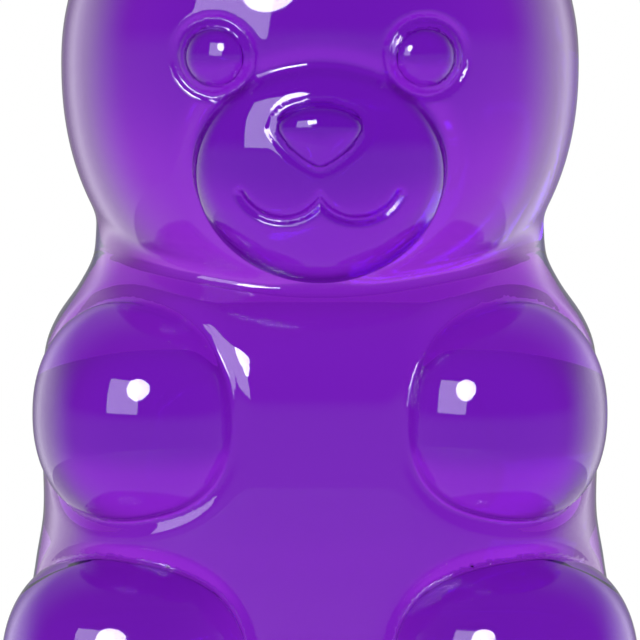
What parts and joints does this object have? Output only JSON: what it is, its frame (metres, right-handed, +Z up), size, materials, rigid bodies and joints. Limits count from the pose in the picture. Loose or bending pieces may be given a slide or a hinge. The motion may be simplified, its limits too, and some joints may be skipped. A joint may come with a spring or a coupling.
{
  "type": "gummy bear",
  "caption": "Translucent purple gummy bear, seated upright, rounded, with a small flat at the back, domed eyes, a muzzle and a smile.",
  "frame": {"origin": "centre of the bounding box in X and Y, at the flat base the bear stands on", "axes": "+Z up, the face towards -Y, the flat back towards +Y, +X to the viewer's right"},
  "size_m": [0.014, 0.0098, 0.0214],
  "materials": {
    "gummy": "smooth wet-looking gel"
  },
  "bodies": {
    "root": {"gummy_bear": "gummy"}
  },
  "joints": []
}
